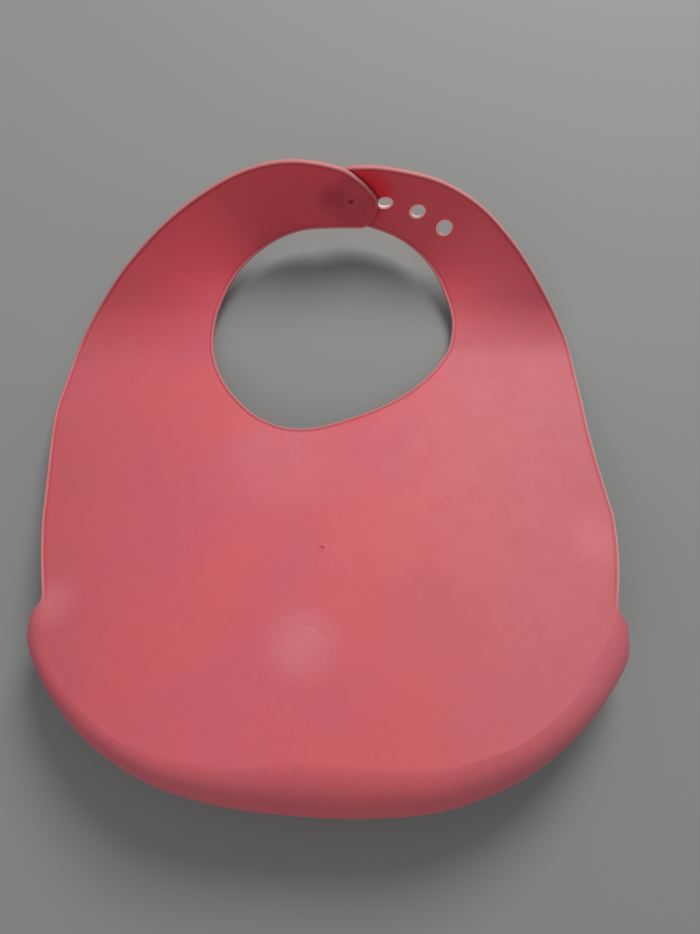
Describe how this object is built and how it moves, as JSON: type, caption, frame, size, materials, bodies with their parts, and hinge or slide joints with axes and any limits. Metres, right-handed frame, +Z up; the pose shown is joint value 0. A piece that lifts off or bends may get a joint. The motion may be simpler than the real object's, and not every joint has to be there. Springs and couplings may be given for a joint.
{
  "type": "silicone baby bib",
  "caption": "Soft silicone baby bib with a round neck opening, a stud and hole closure and a deep catch pocket, buttoned closed and lying face down.",
  "frame": {"origin": "middle of the base, on the surface that the pocket's front wall lies on", "axes": "+Y from the pocket to the neck straps, +Z up out of the bib's back, +X to the side of the hole strap"},
  "size_m": [0.2312, 0.2595, 0.0445],
  "materials": {
    "silicone": "matt coral pink silicone"
  },
  "bodies": {
    "pocket": {"pocket_front": "silicone", "pocket_wall": "silicone", "back_panel": "silicone"},
    "yoke": {"yoke_panel": "silicone"},
    "collar": {"left_shoulder": "silicone", "right_shoulder": "silicone"},
    "stud_end": {"stud_strap": "silicone", "closure_stud": "silicone"},
    "hole_end": {"hole_strap": "silicone"}
  },
  "joints": [
    {"name": "waist_fold", "type": "hinge", "parent": "pocket", "child": "yoke", "pos_m": [0.0005, -0.0211, 0.026], "axis": [1, 0, 0], "range_deg": [0, 110], "stiffness_Nm_per_rad": 0.12},
    {"name": "collar_fold", "type": "hinge", "parent": "yoke", "child": "collar", "pos_m": [0.0005, 0.0609, 0.007], "axis": [1, 0, 0], "range_deg": [0, 50], "stiffness_Nm_per_rad": 0.1},
    {"name": "stud_strap_lift", "type": "hinge", "parent": "collar", "child": "stud_end", "pos_m": [-0.06089, 0.09501, 0.01793], "axis": [0.8732, -0.2508, -0.4178], "range_deg": [0, 70], "stiffness_Nm_per_rad": 0.05, "deforming": ["closure_stud"]},
    {"name": "hole_strap_bend", "type": "hinge", "parent": "collar", "child": "hole_end", "pos_m": [0.06703, 0.10018, 0.0152], "axis": [-0.8641, -0.1632, -0.4762], "range_deg": [0, 35], "stiffness_Nm_per_rad": 0.12}
  ]
}
